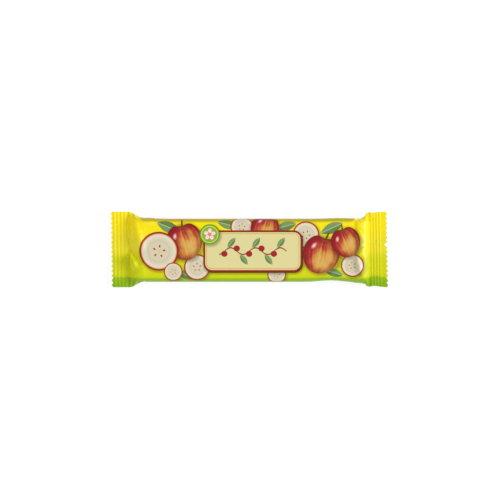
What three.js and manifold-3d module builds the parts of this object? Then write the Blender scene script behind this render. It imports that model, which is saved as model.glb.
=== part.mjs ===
// Apple fruit bar, sealed in a flow-wrapped film pack that lies on its back.
// Units are millimetres. +X runs along the bar, +Y across it, +Z up out of the printed front.
// The origin is under the middle of the pack, on the surface that it rests on.
//
// The film is one tube of constant girth. Over the bar it is a box with bulging sides. At each
// end the side walls fold outwards along their middle until the tube lies flat, and there it is
// crimped, and cut off with a zigzag knife. The lengthwise join is a fin folded down on the back.

import * as THREE from "three";
import { mergeVertices } from "three/addons/utils/BufferGeometryUtils.js";
import Module from "manifold-3d";

// Driving dimensions of the film tube
const PACK_LENGTH = 157;
const FLAT_WIDTH = 43.2;
const SIDE_WALL = 9.5;
const BODY_HEIGHT = 9.2;
const BODY_SHIFT_Y = -0.45;
const FILM_COLOUR = 0xf0dc26;

// Round edges of the section, as the film length that each takes on either side of its corner
const PANEL_EDGE_ROUND = 2.0;
const BODY_SIDE_ROUND = 2.4;
const SEAL_SIDE_ROUND = 0.5;

// Lengthwise fin on the back
const FIN_WIDTH = 11;
const FIN_THICKNESS = 0.5;
const FIN_MIDDLE_Y = -1;

// Crimped end seals
const SEAL_THICKNESS = 0.44;
const RIDGE_COUNT = 4;
const RIDGE_HEIGHT = 0.3;
const STEPS_PER_RIDGE = 4;

// Zigzag cut, and the nick in the right edge: the valley that it deepens, counted from the near side
const TOOTH_COUNT = 16;
const TOOTH_DEPTH = 1.0;
const CUT_SKEW = 0.017;
const NICKED_VALLEY = 9;
const NICK_DEPTH = 1.3;

// The two ends differ, because the bar sits nearer the right seal and the knife cuts off centre.
// shoulder: where the film leaves the bar's top; sealLine: where the tube is flat;
// bluntness: how suddenly the film drops between the two; crimp: where the first ridge starts;
// ridgePitch: how far apart the ridges are; sealZ and tipZ: height of the flat seal at its line
// and at its cut edge.
const LEFT_END = {
  side: -1,
  shoulder: 58.5,
  sealLine: 68.2,
  bluntness: 2.5,
  crimp: 69.2,
  ridgePitch: 2.05,
  sealZ: 4.7,
  tipZ: 4.6,
};
const RIGHT_END = {
  side: 1,
  shoulder: 60.5,
  sealLine: 68.0,
  bluntness: 4.2,
  crimp: 68.4,
  ridgePitch: 1.65,
  sealZ: 5.8,
  tipZ: 6.6,
};

// Folds in the front film where it is drawn from the bar to the seals. Along the line, the film rises
// to the crest over the length rise on the right of it, and falls again over fall on its left.
// A fold of negative height is a dent.
const FRONT_FOLDS = [
  { from: [-71.2, 0.8], to: [-63.0, -11.1], height: 2.0, rise: 8.0, fall: 3.0 },
  { from: [-69.0, 2.3], to: [-60.8, -9.6], height: -1.2, rise: 3.0, fall: 8.0 },
  { from: [-65.8, 18.0], to: [-60.6, -1.5], height: 0.9, rise: 5.0, fall: 4.0 },
  { from: [-67.2, 19.2], to: [-52.2, 14.4], height: 0.9, rise: 3.0, fall: 1.8 },
  { from: [60.0, -4.0], to: [65.6, -18.6], height: 1.0, rise: 3.0, fall: 2.2 },
  { from: [61.0, 12.0], to: [63.6, -5.0], height: 0.6, rise: 3.4, fall: 3.4 },
];
// Width of a fold's tight bend and of its soft foot, as shares of its sides, and the shares of its
// length over which it starts and ends
const FOLD_BEND = 0.5;
const FOLD_FOOT = 0.8;
const FOLD_START = 0.2;
const FOLD_END = 0.35;
// Folds fade out over this length next to a seal, which the jaws have pressed flat
const FOLD_FADE = 1.0;

// Where a side of the film lies farther out than the even form, or farther in where height is
// negative. side is 1 for the far one.
const SIDE_BULGES = [
  { side: -1, x: 46, reach: 8, height: -0.9 },
  { side: -1, x: 63, reach: 4.5, height: 1.0 },
  { side: -1, x: 70, reach: 4.5, height: -0.8 },
  { side: 1, x: 70, reach: 4.5, height: -0.5 },
  { side: 1, x: 51, reach: 8, height: 0.4 },
  { side: 1, x: -58, reach: 5, height: 0.6 },
];

// How finely the skin follows the form: steps across half a panel, along the bar and over a shoulder
const PANEL_STEPS = 14;
const BODY_STEPS = 22;
const SHOULDER_STEPS = 14;

// Lengths that follow from the driving ones
const HALF_LENGTH = PACK_LENGTH / 2;
const HALF_GIRTH = FLAT_WIDTH;
const HALF_WALL = SIDE_WALL / 2;
const PANEL_HALF = FLAT_WIDTH / 2 - HALF_WALL;
const BODY_HALF = BODY_HEIGHT / 2;
const SEAL_HALF = SEAL_THICKNESS / 2;
const BODY_MIDDLE_Z = FIN_THICKNESS + BODY_HALF;
const TOOTH_PITCH = FLAT_WIDTH / TOOTH_COUNT;

// The knives reach this far beyond the pack's length, above and below it
const KNIFE_MARGIN = 4;

const { clamp, lerp, smoothstep } = THREE.MathUtils;

function endAt(x) {
  return x < 0 ? LEFT_END : RIGHT_END;
}

// 0 over the bar, rising to 1 at the seal line
function shoulderTravel(x) {
  const end = endAt(x);
  return clamp((Math.abs(x) - end.shoulder) / (end.sealLine - end.shoulder), 0, 1);
}

// Half the height between the front and back film
function halfHeightAt(x) {
  return lerp(BODY_HALF, SEAL_HALF, shoulderTravel(x) ** endAt(x).bluntness);
}

// Height of the plane midway between the front and back film
function middleHeightAt(x) {
  const end = endAt(x);
  const outside = Math.max(0, Math.abs(x) - end.sealLine) / (HALF_LENGTH - end.sealLine);
  const seal = lerp(end.sealZ, end.tipZ, outside);
  return lerp(BODY_MIDDLE_Z, seal, smoothstep(shoulderTravel(x), 0, 1));
}

// Corrugation that the crimping jaws press into both films alike
function ridgeAt(x) {
  const ridges = (Math.abs(x) - endAt(x).crimp) / endAt(x).ridgePitch;
  const inside = ridges > 0 && ridges < RIDGE_COUNT;
  return inside ? RIDGE_HEIGHT * Math.sin(Math.PI * ridges) ** 2 : 0;
}

// Point of a corner-to-corner path at film length v, each corner rounded by a quadratic curve
function pointOnPath(path, v) {
  for (let i = 1; i < path.length - 1; i++) {
    const corner = path[i];
    const reach = corner.round;
    if (Math.abs(v - corner.v) >= reach) continue;
    const before = pointBetween(path[i - 1], corner, corner.v - reach);
    const after = pointBetween(corner, path[i + 1], corner.v + reach);
    const t = (v - corner.v + reach) / (2 * reach);
    const tip = new THREE.Vector2(corner.y, corner.z);
    return new THREE.QuadraticBezierCurve(before, tip, after).getPoint(t);
  }
  const i = Math.max(1, path.findIndex((corner) => corner.v >= v));
  return pointBetween(path[i - 1], path[i], v);
}

function pointBetween(a, b, v) {
  const t = (v - a.v) / (b.v - a.v);
  return new THREE.Vector2(lerp(a.y, b.y, t), lerp(a.z, b.z, t));
}

// Half of the tube's section at x: front panel, folded side wall, back panel, for y above 0
function halfSection(x) {
  const half = halfHeightAt(x);
  const openness = (half - SEAL_HALF) / (BODY_HALF - SEAL_HALF);
  const reach = PANEL_HALF + Math.sqrt(HALF_WALL ** 2 - half ** 2);
  const sideRound = lerp(SEAL_SIDE_ROUND, BODY_SIDE_ROUND, openness);
  return [
    { v: 0, y: 0, z: half },
    { v: PANEL_HALF, y: PANEL_HALF, z: half, round: PANEL_EDGE_ROUND },
    { v: PANEL_HALF + HALF_WALL, y: reach, z: 0, round: sideRound },
    { v: PANEL_HALF + SIDE_WALL, y: PANEL_HALF, z: -half, round: PANEL_EDGE_ROUND },
    { v: HALF_GIRTH, y: 0, z: -half },
  ];
}

// Height that a fold adds at a point of the pack's plan: two nearly flat faces with a tight bend
function foldHeight(fold, x, y) {
  const run = new THREE.Vector2(fold.to[0] - fold.from[0], fold.to[1] - fold.from[1]);
  const length = run.length();
  run.divideScalar(length);
  const offset = new THREE.Vector2(x - fold.from[0], y - fold.from[1]);
  const share = offset.dot(run) / length;
  const left = run.cross(offset);
  const away = left < 0 ? -left / fold.rise : left / fold.fall;
  const slopes = clamp(1 + FOLD_BEND - Math.hypot(away, FOLD_BEND), 0, 1);
  const foot = smoothstep(1 - away, 0, FOLD_FOOT);
  const along = smoothstep(share, 0, FOLD_START) * smoothstep(1 - share, 0, FOLD_END);
  return fold.height * slopes * foot * along;
}

// Height of all folds of the front, none of which runs on into a seal or round the side
function foldRelief(x, y) {
  let relief = 0;
  for (const fold of FRONT_FOLDS) relief += foldHeight(fold, x, y);
  const fromSeal = smoothstep(endAt(x).sealLine - Math.abs(x), 0, FOLD_FADE);
  return relief * fromSeal * smoothstep(HALF_GIRTH / 2 - Math.abs(y), 0, HALF_WALL);
}

// How far the bulges of the film's two sides move a point along Y
function sideBulge(x, y) {
  let shift = 0;
  for (const bulge of SIDE_BULGES) {
    const swell = bulge.height * Math.exp(-(((x - bulge.x) / bulge.reach) ** 2));
    shift += bulge.side * swell * smoothstep(bulge.side * y, PANEL_HALF / 2, PANEL_HALF);
  }
  return shift;
}

// Point of the film's outer face. v is the signed film length from the middle of the front.
function filmPoint(x, v, finDepth) {
  const section = pointOnPath(halfSection(x), Math.abs(v));
  const y = Math.sign(v) * section.x;
  const openness = 1 - shoulderTravel(x);
  const fold = section.y > 0 ? foldRelief(x, y) : 0;
  const height = middleHeightAt(x) + section.y + ridgeAt(x) + fold - finDepth;
  const skewed = x - CUT_SKEW * y * (1 - openness);
  const across = y + BODY_SHIFT_Y * openness + sideBulge(x, y);
  return new THREE.Vector3(skewed, across, height);
}

// Film lengths of the section's points, going round from the middle of the back and through the
// front. Each is [v, depth of the fin there]. The fin is a step, so its edges count twice.
function girthSamples() {
  const half = [];
  const flat = PANEL_HALF - PANEL_EDGE_ROUND;
  for (let i = 1; i < PANEL_STEPS; i++) half.push((i / PANEL_STEPS) * flat);
  for (const part of [-1, -0.5, 0, 0.5, 1]) {
    half.push(PANEL_HALF + part * PANEL_EDGE_ROUND);
  }
  for (const part of [-0.5, 0, 0.5]) {
    half.push(PANEL_HALF + HALF_WALL + part * BODY_SIDE_ROUND);
  }
  for (const part of [-1, -0.5, 0, 0.5, 1]) {
    half.push(PANEL_HALF + SIDE_WALL + part * PANEL_EDGE_ROUND);
  }

  const finFrom = FIN_MIDDLE_Y - FIN_WIDTH / 2;
  const finTo = FIN_MIDDLE_Y + FIN_WIDTH / 2;
  const towardsFin = (edge) => Math.sign(edge) * (HALF_GIRTH - Math.abs(edge));
  const near = half.map((v) => [-v, 0]).reverse();
  const far = half.map((v) => [v, 0]);
  return [
    [towardsFin(finFrom), FIN_THICKNESS],
    [towardsFin(finFrom), 0],
    ...near,
    [0, 0],
    ...far,
    [towardsFin(finTo), 0],
    [towardsFin(finTo), FIN_THICKNESS],
  ];
}

// Places of the sections along one end, from the bar outwards to just past the knife
function endStations(end) {
  const places = [];
  for (let i = 0; i < SHOULDER_STEPS; i++) {
    const share = Math.sin((i / SHOULDER_STEPS) * (Math.PI / 2));
    places.push(lerp(end.shoulder, end.sealLine, share));
  }
  places.push(end.sealLine);
  for (let i = 0; i <= RIDGE_COUNT * STEPS_PER_RIDGE; i++) {
    const place = end.crimp + (i / STEPS_PER_RIDGE) * end.ridgePitch;
    if (place < HALF_LENGTH) places.push(place);
  }
  places.push(HALF_LENGTH + TOOTH_DEPTH);
  return places.map((place) => end.side * place);
}

function stations() {
  const body = [];
  for (let i = 1; i < BODY_STEPS; i++) {
    body.push(lerp(-LEFT_END.shoulder, RIGHT_END.shoulder, i / BODY_STEPS));
  }
  return [...endStations(LEFT_END).reverse(), ...body, ...endStations(RIGHT_END)];
}

// The closed film tube as a skin over the sections, with flat faces at both ends
function filmTube() {
  const rings = stations();
  const samples = girthSamples();
  const positions = [];
  for (const x of rings) {
    for (const [v, finDepth] of samples) positions.push(...filmPoint(x, v, finDepth).toArray());
  }
  const around = samples.length;
  const index = [];
  for (let i = 0; i < rings.length - 1; i++) {
    for (let j = 0; j < around; j++) {
      const next = (j + 1) % around;
      const near = i * around;
      const far = near + around;
      index.push(near + j, far + next, near + next);
      index.push(near + j, far + j, far + next);
    }
  }
  const lastRing = (rings.length - 1) * around;
  for (const [a, b, c] of endFace(positions, around)) {
    index.push(a, c, b);
    index.push(lastRing + a, lastRing + b, lastRing + c);
  }
  const geometry = new THREE.BufferGeometry();
  geometry.setAttribute("position", new THREE.Float32BufferAttribute(positions, 3));
  geometry.setIndex(index);
  return geometry;
}

// Triangles that close the first ring, seen along X
function endFace(positions, around) {
  const outline = [];
  for (let j = 0; j < around; j++) {
    outline.push(new THREE.Vector2(positions[3 * j + 1], positions[3 * j + 2]));
  }
  return THREE.ShapeUtils.triangulateShape(outline, []);
}

// Block that cuts one end off along a zigzag. Half steps of the zigzag are numbered from the near
// side of the flat tube: the even ones are valleys, the odd ones tips. One more tooth is cut on
// either side, so that the block is wider than the tube.
function zigzagKnife(side) {
  const outline = new THREE.Shape();
  const outer = side * (HALF_LENGTH + KNIFE_MARGIN);
  const halfWidth = FLAT_WIDTH / 2 + TOOTH_PITCH;
  outline.moveTo(outer, -halfWidth);
  outline.lineTo(outer, halfWidth);
  for (let i = 2 * TOOTH_COUNT + 2; i >= -2; i--) {
    const y = -FLAT_WIDTH / 2 + (i * TOOTH_PITCH) / 2;
    const nick = side > 0 && i === 2 * NICKED_VALLEY ? NICK_DEPTH : 0;
    const inset = i % 2 ? 0 : TOOTH_DEPTH + nick;
    outline.lineTo(side * (HALF_LENGTH - inset) - CUT_SKEW * y, y);
  }
  const depth = BODY_HEIGHT + 2 * KNIFE_MARGIN;
  const knife = new THREE.ExtrudeGeometry(outline, { depth, bevelEnabled: false });
  return knife.translate(0, 0, -KNIFE_MARGIN);
}

const wasm = await Module();
wasm.setup();

function toSolid(geometry) {
  const bare = new THREE.BufferGeometry();
  bare.setAttribute("position", geometry.getAttribute("position"));
  bare.setIndex(geometry.getIndex());
  const merged = mergeVertices(bare, 1e-4);
  const mesh = new wasm.Mesh({
    numProp: 3,
    vertProperties: merged.attributes.position.array,
    triVerts: new Uint32Array(merged.index.array),
  });
  return new wasm.Manifold(mesh);
}

function toGeometry(solid) {
  const mesh = solid.getMesh();
  const geometry = new THREE.BufferGeometry();
  geometry.setAttribute("position", new THREE.BufferAttribute(mesh.vertProperties, 3));
  geometry.setIndex(new THREE.BufferAttribute(mesh.triVerts, 1));
  geometry.computeVertexNormals();
  return geometry;
}

const cutTube = toSolid(filmTube())
  .subtract(toSolid(zigzagKnife(-1)))
  .subtract(toSolid(zigzagKnife(1)));

const film = new THREE.MeshStandardMaterial({ color: FILM_COLOUR, roughness: 0.28, metalness: 0 });
const wrapper = new THREE.Mesh(toGeometry(cutTube), film);
wrapper.name = "wrapper";

const pack = new THREE.Group();
pack.add(wrapper);

export default pack;
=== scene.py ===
"""Looks of a wrapped apple fruit bar: its printed film, the fin on its back and the studio it lies in.

Places and sizes are in metres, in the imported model's frame: +X runs along the bar, +Y across it and
+Z up out of the printed front. The print is laid out in millimetres on the flat film.
"""

import functools
import math
from collections import namedtuple

import bpy
import numpy as np
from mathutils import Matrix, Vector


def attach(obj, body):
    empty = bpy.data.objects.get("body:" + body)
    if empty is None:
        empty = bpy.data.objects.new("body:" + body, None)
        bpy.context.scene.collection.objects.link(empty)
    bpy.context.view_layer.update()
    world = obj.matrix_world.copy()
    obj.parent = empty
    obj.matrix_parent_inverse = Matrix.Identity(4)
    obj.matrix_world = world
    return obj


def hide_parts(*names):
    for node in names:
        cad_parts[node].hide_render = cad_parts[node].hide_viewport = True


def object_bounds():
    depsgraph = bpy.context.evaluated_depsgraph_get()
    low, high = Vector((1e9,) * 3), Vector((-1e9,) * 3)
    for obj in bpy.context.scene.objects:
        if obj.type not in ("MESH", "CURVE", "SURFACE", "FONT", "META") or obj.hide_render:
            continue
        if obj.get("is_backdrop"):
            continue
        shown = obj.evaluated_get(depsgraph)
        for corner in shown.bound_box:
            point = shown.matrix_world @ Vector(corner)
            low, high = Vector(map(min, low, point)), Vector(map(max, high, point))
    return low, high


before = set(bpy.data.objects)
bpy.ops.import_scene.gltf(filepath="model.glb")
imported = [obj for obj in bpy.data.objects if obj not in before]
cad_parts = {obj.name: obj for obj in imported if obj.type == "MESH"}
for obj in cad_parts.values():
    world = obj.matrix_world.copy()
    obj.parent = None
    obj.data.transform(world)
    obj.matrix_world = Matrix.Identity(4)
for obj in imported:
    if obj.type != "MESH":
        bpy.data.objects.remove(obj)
CAD_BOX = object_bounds()

bl_info = {
    "name": "Wrapped Fruit Bar",
    "version": (1, 0, 0),
    "blender": (4, 5, 0),
    "location": "3D View > Sidebar > Fruit Bar",
    "description": "Builds the printed film pack of an apple fruit bar round its packed frame",
    "category": "Object",
}

MM = 0.001
BODY = "root"
WRAPPER_NODE = "wrapper"
FILM_MATERIAL = "printed_bopp_film"
# UV map that holds each point's place on the flat film, in millimetres
PRINT_MAP = "film_mm"


def linear(colour):
    """Linear RGBA of an sRGB hex colour."""
    parts = [int(colour[i:i + 2], 16) / 255 for i in (0, 2, 4)]
    light = [p / 12.92 if p <= 0.04045 else ((p + 0.055) / 1.055) ** 2.4 for p in parts]
    return (*light, 1.0)


def colour_property(name, description, default):
    return bpy.props.FloatVectorProperty(
        name=name, description=description, subtype="COLOR", size=4, min=0, max=1, default=linear(default))


def length_property(name, description, default):
    return bpy.props.FloatProperty(
        name=name, description=description, unit="LENGTH", precision=5, min=0, default=default * MM)


class FilmSizes(bpy.types.PropertyGroup):
    """Sizes of the film tube, its seals and its cut ends."""

    pack_length: length_property("Pack length", "Cut edge to cut edge", 157)
    flat_width: length_property("Flat width", "Width of the film tube where it lies flat", 43.2)
    side_wall: length_property("Side wall", "Film between the front and back panel over the bar", 9.5)
    body_height: length_property("Body height", "Height of the film tube over the bar", 9.2)
    seal_thickness: length_property("Seal thickness", "Both films together in an end seal", 0.2)
    ridge_height: length_property("Ridge height", "Rise of a ridge above the furrow next to it", 0.19)
    tooth_depth: length_property("Tooth depth", "Depth of the zigzag cut", 1.0)
    notch_depth: length_property("Notch depth", "Depth of the nick in the right cut edge", 1.3)
    fin_width: length_property("Fin width", "Width of the lengthwise seal on the back", 11)
    fin_thickness: length_property("Fin thickness", "Thickness of the lengthwise seal", 0.16)
    tooth_count: bpy.props.IntProperty(
        name="Teeth", description="Teeth across a cut edge", min=1, default=16)


class PrintColours(bpy.types.PropertyGroup):
    """Inks of the print and the colour of the studio's table."""

    ground_warm: colour_property("Warm yellow", "Ground at the far edge of the front", "ecd806")
    ground_lime: colour_property("Lime yellow", "Ground next to the green band", "c9cb06")
    band_deep: colour_property("Deep green", "Green band along the pack's edge", "7ea806")
    band_light: colour_property("Light green", "Green band where it starts", "92b206")
    panel_cream: colour_property("Cream", "Bare panels", "d4cb90")
    line_brown: colour_property("Red brown", "Frames and stalks", "86260e")
    skin_red: colour_property("Fruit red", "Skin of the apples", "a01e28")
    skin_gold: colour_property("Fruit gold", "Sunny side of the apples", "ca9042")
    flesh: colour_property("Flesh", "Cut face of the apples", "ccc1aa")
    leaf: colour_property("Leaf green", "Leaves", "6d8a50")
    floor: colour_property("Table", "Face of the light table", "707070")


# The two ends differ, because the bar sits nearer the right seal. shoulder is where the film leaves
# the bar's top, seal_line where the tube is flat, bluntness how suddenly the film drops between them,
# crimp where the first ridge starts, ridges how many there are, pitch how far apart, press how deep the
# jaws have pressed them, and seal_z and tip_z the seal's height at its line and its edge.
PackEnd = namedtuple("PackEnd", "shoulder seal_line bluntness crimp ridges pitch press seal_z tip_z")
LEFT_END = PackEnd(shoulder=58.5 * MM, seal_line=68.2 * MM, bluntness=2.5, crimp=69.2 * MM, ridges=4,
                   pitch=2.05 * MM, press=1.3, seal_z=4.7 * MM, tip_z=4.6 * MM)
RIGHT_END = PackEnd(shoulder=60.5 * MM, seal_line=68.0 * MM, bluntness=4.2, crimp=68.4 * MM, ridges=4,
                    pitch=1.65 * MM, press=1.15, seal_z=5.8 * MM, tip_z=6.6 * MM)

# How far the body lies off the middle of the seals, and how high its back film lies above the table
BODY_SHIFT_Y = -0.45 * MM
BODY_BOTTOM = 0.5 * MM
# Round edges of the section, as the film length that each takes on either side of its corner
PANEL_EDGE_ROUND = 2.0 * MM
SHOULDER_EDGE_ROUND = 0.9 * MM
BODY_SIDE_ROUND = 2.4 * MM
SEAL_SIDE_ROUND = 0.3 * MM
FIN_MIDDLE_Y = -1.0 * MM
# Skew of the seals and the cut, as a shift along the pack for each unit across it, and the length of
# film next to the cut that is drawn back to it
CUT_SKEW = 0.017
CUT_MARGIN = 2.5 * MM
# The nick in the right cut edge
NOTCH_Y = 2.7 * MM
NOTCH_HALF_WIDTH = 1.5 * MM

# Folds that stay in the film where it is drawn from the bar to the seals. Seen from start to end, the
# film rises to the crest over rise on its right and falls again over fall on its left. A fold of
# negative height is a dent.
Fold = namedtuple("Fold", "start end height rise fall")
FRONT_FOLDS = (
    Fold((-71.2 * MM, 0.8 * MM), (-63.0 * MM, -11.1 * MM), 2.3 * MM, 8.0 * MM, 2.7 * MM),
    Fold((-69.0 * MM, 2.3 * MM), (-60.8 * MM, -9.6 * MM), -1.4 * MM, 2.7 * MM, 8.0 * MM),
    Fold((-65.8 * MM, 18.0 * MM), (-60.6 * MM, -1.5 * MM), 0.9 * MM, 5.0 * MM, 4.0 * MM),
    Fold((-67.2 * MM, 19.2 * MM), (-52.2 * MM, 14.4 * MM), 0.9 * MM, 3.0 * MM, 1.8 * MM),
    Fold((60.0 * MM, -4.0 * MM), (65.6 * MM, -18.6 * MM), 1.0 * MM, 3.0 * MM, 2.2 * MM),
    Fold((61.0 * MM, 12.0 * MM), (63.6 * MM, -5.0 * MM), 0.6 * MM, 3.4 * MM, 3.4 * MM),
)
# Folds fade out over this length next to a seal, which the jaws have pressed flat
FOLD_FADE = 0.8 * MM
# Width of a fold's tight bend and of its soft foot, as shares of its sides, and the shares of its
# length over which it starts and ends
FOLD_BEND = 0.2
FOLD_FOOT = 0.8
FOLD_START = 0.2
FOLD_END = 0.35
# Small folds where the film is gathered into the seals
PLEAT_SEED = 5
PLEATS_PER_FACE = 9
PLEAT_LENGTH = (5.0 * MM, 11.0 * MM)
PLEAT_HEIGHT = (0.08 * MM, 0.28 * MM)
PLEAT_SIDE = (1.2 * MM, 3.6 * MM)
PLEAT_LEAN = 0.6
# Where a side of the pack lies farther out than the even form, or in: side is 1 for the far one
Bulge = namedtuple("Bulge", "side x reach height")
SIDE_BULGES = (
    Bulge(-1, 46.0 * MM, 8.0 * MM, -0.9 * MM),
    Bulge(-1, 63.0 * MM, 4.5 * MM, 1.0 * MM),
    Bulge(-1, 70.0 * MM, 4.5 * MM, -0.8 * MM),
    Bulge(1, 70.0 * MM, 4.5 * MM, -0.5 * MM),
    Bulge(1, 51.0 * MM, 8.0 * MM, 0.4 * MM),
    Bulge(1, -58.0 * MM, 5.0 * MM, 0.6 * MM),
)


def at_end(x, name):
    """A value of the left end where x is negative, else of the right end."""
    return np.where(x < 0, getattr(LEFT_END, name), getattr(RIGHT_END, name))


def blend_between(a, b, share):
    """a where share is 0 and b where it is 1."""
    return a + (b - a) * share


def smooth_step(value, low, high):
    """0 up to low, 1 from high on, and an S-shaped rise between."""
    share = np.clip((value - low) / (high - low), 0, 1)
    return share * share * (3 - 2 * share)


class FilmTube:
    """Form of the film tube, worked out from its sizes. v is the film length from the front's middle."""

    def __init__(self, sizes):
        self.sizes = sizes
        self.half_length = sizes.pack_length / 2
        self.half_girth = sizes.flat_width
        self.half_wall = sizes.side_wall / 2
        self.panel_half = sizes.flat_width / 2 - self.half_wall
        self.body_half = sizes.body_height / 2
        self.seal_half = sizes.seal_thickness / 2
        self.tooth_pitch = sizes.flat_width / sizes.tooth_count

    def shoulder_travel(self, x):
        """0 over the bar, rising to 1 at the seal line."""
        run = at_end(x, "seal_line") - at_end(x, "shoulder")
        return np.clip((np.abs(x) - at_end(x, "shoulder")) / run, 0, 1)

    def half_height(self, x):
        """Half the height between the front and back film."""
        drop = self.shoulder_travel(x) ** at_end(x, "bluntness")
        return blend_between(self.body_half, self.seal_half, drop)

    def middle_height(self, x):
        """Height of the plane midway between the front and back film."""
        seal_line = at_end(x, "seal_line")
        beyond = np.maximum(0, np.abs(x) - seal_line) / (self.half_length - seal_line)
        seal = blend_between(at_end(x, "seal_z"), at_end(x, "tip_z"), beyond)
        body = BODY_BOTTOM + self.body_half
        return blend_between(body, seal, smooth_step(self.shoulder_travel(x), 0, 1))

    def crimp(self, points):
        """Presses the ridges of the crimping jaws into both films alike."""
        x = points[..., 0] + CUT_SKEW * points[..., 1]
        ridges = (np.abs(x) - at_end(x, "crimp")) / at_end(x, "pitch")
        inside = (ridges > 0) & (ridges < at_end(x, "ridges"))
        height = self.sizes.ridge_height * at_end(x, "press")
        points[..., 2] += np.where(inside, height * np.sin(np.pi * ridges) ** 2, 0)
        return points

    def fold_in(self, points, columns):
        """Presses the folds into the film next to the seals."""
        front = smooth_step(self.half_girth / 2 - np.abs(columns), 0, self.half_wall / 2)
        back = smooth_step(np.abs(columns) - self.half_girth / 2, 0, self.half_wall / 2)
        draw = np.random.default_rng(PLEAT_SEED)
        relief = front * sum(fold_height(points, fold) for fold in [*FRONT_FOLDS, *self.pleats(draw)])
        relief -= back * sum(fold_height(points, fold) for fold in self.pleats(draw))
        x = points[..., 0] + CUT_SKEW * points[..., 1]
        points[..., 2] += relief * smooth_step(at_end(x, "seal_line") - np.abs(x), 0, FOLD_FADE)
        return points

    def pleats(self, draw):
        """Random folds of one face, which run from the seals up towards the bar."""
        spread = self.sizes.flat_width - self.half_wall
        for side, end in ((-1, LEFT_END), (1, RIGHT_END)):
            for k in range(PLEATS_PER_FACE):
                share = (k + draw.uniform()) / PLEATS_PER_FACE
                start = np.array([side * end.seal_line, (share - 0.5) * spread])
                run = np.array([-side, draw.uniform(-PLEAT_LEAN, PLEAT_LEAN)])
                stop = start + run / np.linalg.norm(run) * draw.uniform(*PLEAT_LENGTH)
                yield Fold(start, stop, draw.uniform(*PLEAT_HEIGHT), draw.uniform(*PLEAT_SIDE),
                           draw.uniform(*PLEAT_SIDE))

    def section(self, x, v):
        """Y and z of the tube's section, a hexagon of constant girth with rounded corners."""
        half = self.half_height(x)
        wall = self.half_wall
        panel = self.panel_half
        spread = np.sqrt(wall ** 2 - half ** 2) / wall
        fall = half / wall
        travel = np.abs(v)
        first = np.clip(travel, 0, panel)
        second = np.clip(travel - panel, 0, wall)
        third = np.clip(travel - panel - wall, 0, wall)
        last = np.maximum(travel - panel - 2 * wall, 0)
        y = first + spread * (second - third) - last
        z = half - fall * (second + third)

        openness = (half - self.seal_half) / (self.body_half - self.seal_half)
        side_round = blend_between(SEAL_SIDE_ROUND, BODY_SIDE_ROUND, openness)
        panel_round = blend_between(SHOULDER_EDGE_ROUND, PANEL_EDGE_ROUND, openness)
        front_edge = corner_cut(travel - panel, panel_round)
        side_edge = corner_cut(travel - panel - wall, side_round)
        back_edge = corner_cut(travel - panel - 2 * wall, panel_round)
        y = y + (spread - 1) * (front_edge + back_edge) - 2 * spread * side_edge
        z = z + fall * (back_edge - front_edge)
        return y * np.sign(v), z

    def surface(self, x, v):
        """Points of the film's outer face for arrays of x and v that broadcast together."""
        y, z = self.section(x, v)
        openness = 1 - self.shoulder_travel(x)
        height = self.middle_height(x) + z
        skewed = x - CUT_SKEW * y * (1 - openness)
        across = y + BODY_SHIFT_Y * openness
        for bulge in SIDE_BULGES:
            swell = bulge.side * bulge.height * np.exp(-(((x - bulge.x) / bulge.reach) ** 2))
            across = across + swell * smooth_step(bulge.side * y, self.panel_half / 2, self.panel_half)
        return np.stack(np.broadcast_arrays(skewed, across, height), axis=-1)

    def cut_inset(self, y, right):
        """How far the zigzag cut lies inside the pack's full length."""
        phase = (y + self.sizes.flat_width / 2) / self.tooth_pitch % 1
        inset = self.sizes.tooth_depth * np.abs(2 * phase - 1)
        nick = np.clip(1 - np.abs(y - NOTCH_Y) / NOTCH_HALF_WIDTH, 0, 1)
        return np.where(right, inset + self.sizes.notch_depth * nick, inset)

    def cut(self, points):
        """Draws the last stretch of film back to the zigzag cut."""
        x, y = points[..., 0], points[..., 1]
        reach = np.abs(x + CUT_SKEW * y)
        start = self.half_length - CUT_MARGIN
        share = np.clip((reach - start) / CUT_MARGIN, 0, 1)
        points[..., 0] = x - np.sign(x) * share * self.cut_inset(y, x > 0)
        return points


def fold_height(points, fold):
    """Height that a fold adds at each point: two nearly flat faces that meet in a tight bend."""
    start, run = np.array(fold.start), np.subtract(fold.end, fold.start)
    length = np.linalg.norm(run)
    along_x, along_y = run / length
    x, y = points[..., 0] - start[0], points[..., 1] - start[1]
    share = (x * along_x + y * along_y) / length
    left = y * along_x - x * along_y
    away = np.where(left < 0, -left / fold.rise, left / fold.fall)
    faces = np.clip(1 + FOLD_BEND - np.sqrt(away ** 2 + FOLD_BEND ** 2), 0, 1)
    faces = faces * smooth_step(1 - away, 0, FOLD_FOOT)
    return fold.height * faces * smooth_step(share, 0, FOLD_START) * smooth_step(1 - share, 0, FOLD_END)


def corner_cut(distance, reach):
    """What a quadratic corner adds to a path, for a slope that changes by one at distance 0."""
    return np.maximum(0, reach - np.abs(distance)) ** 2 / (4 * reach)


# The film is settled over the bar on a coarse grid, and what it moves is laid over the fine one
SETTLE_ROW_STEP = 0.6 * MM
SETTLE_COLUMNS = 144
SETTLE_STEPS = 320
SETTLE_SEED = 11
# Size of the random unevenness that it starts with, the share of its speed that it keeps in a step,
# and how many steps pass before the direction of the air's push is worked out again
START_JITTER = 0.05 * MM
SPEED_KEPT = 0.92
STEPS_PER_PRESSURE = 4
# How far the air pushes the film out in a step, and the gaps that the film keeps
AIR_PRESSURE = 0.004 * MM
BAR_CLEARANCE = 0.06 * MM
FLOOR_GAP = 0.25 * MM
LAYER_GAP = 0.2 * MM
# The jaws hold the film fast from this far inside the seal line
HELD_BEYOND_SEAL = 0.2 * MM
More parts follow.
